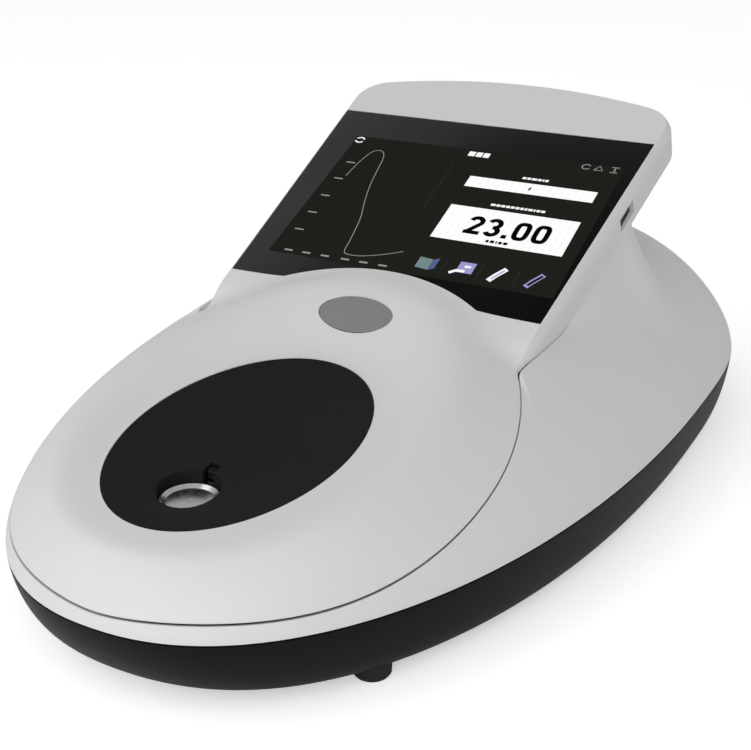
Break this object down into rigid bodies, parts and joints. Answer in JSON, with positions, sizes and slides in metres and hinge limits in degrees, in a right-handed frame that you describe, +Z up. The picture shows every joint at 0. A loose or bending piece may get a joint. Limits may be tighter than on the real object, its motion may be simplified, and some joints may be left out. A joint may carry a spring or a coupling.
{
  "type": "microvolume spectrophotometer",
  "caption": "Bench instrument that measures the absorbance of a small liquid drop on a lidded sample port, with a tilted touch display on an egg-shaped casing.",
  "frame": {"origin": "on the surface that the feet stand on, under the middle of the casing's box", "axes": "+X to the right of a user who faces the display, +Y from the nose to the tail, +Z up"},
  "size_m": [0.216, 0.353, 0.1293],
  "materials": {
    "shell_grey": "satin moulded plastic, fine texture",
    "tray_black": "satin black moulded plastic",
    "screen_glass": "gloss black-backed cover glass",
    "lcd": "display module",
    "steel": "plated steel",
    "circuit_board": "solder-masked board",
    "badge_metal": "satin anodised, bare",
    "dish_black": "soft-touch black",
    "lid_metal": "turned, polished rim",
    "mirror": "first-surface mirror",
    "aluminium": "machined",
    "silica": "clear fused silica",
    "rubber": "matte black rubber",
    "black_plastic": "moulded black plastic",
    "brass": "turned brass",
    "ribbon": "flat flexible cable",
    "fibre_jacket": "orange jacket"
  },
  "bodies": {
    "root": {"base_tray": "tray_black", "main_shell": "shell_grey", "front_cover": "shell_grey", "screen_back_cover": "shell_grey", "screen_glass": "screen_glass", "lcd_panel": "lcd", "display_frame": "steel", "display_board": "circuit_board", "side_usb_port": "steel", "badge": "badge_metal", "dish_insert": "dish_black", "lid_hinge_pin": "steel", "sample_block": "aluminium", "sample_window": "silica", "port_seal": "rubber", "port_bracket": "black_plastic", "chassis_plate": "steel", "chassis_screws": "steel", "main_board": "circuit_board", "board_chips": "black_plastic", "board_standoffs": "brass", "board_screws": "steel", "power_board": "circuit_board", "ribbon_cable": "ribbon", "spectrometer_bench": "aluminium", "bench_cover": "aluminium", "entrance_slit": "black_plastic", "collimating_mirror": "mirror", "diffraction_grating": "mirror", "focusing_mirror": "mirror", "detector_board": "circuit_board", "lamp_housing": "aluminium", "xenon_lamp": "silica", "lamp_board": "circuit_board", "lamp_fibre": "fibre_jacket", "detector_fibre": "fibre_jacket", "rear_panel": "black_plastic", "dc_inlet": "black_plastic", "rear_usb_sockets": "steel", "power_switch_frame": "black_plastic", "rocker_pin": "steel", "foot_front_right": "rubber", "foot_front_left": "rubber", "foot_rear_right": "rubber", "foot_rear_left": "rubber", "foot_screws": "steel", "case_screws": "steel"},
    "lid": {"sample_lid": "lid_metal", "lid_mirror": "mirror"},
    "rocker": {"power_rocker": "black_plastic"}
  },
  "joints": [
    {"name": "lid_hinge", "type": "hinge", "parent": "root", "child": "lid", "pos_m": [0, -0.1156, 0.04948], "axis": [-1, 0, 0], "range_deg": [0, 80]},
    {"name": "power_rocker_tilt", "type": "hinge", "parent": "root", "child": "rocker", "pos_m": [0.028, 0.1555, 0.0185], "axis": [0, 0, -1], "range_deg": [0, 14]}
  ]
}
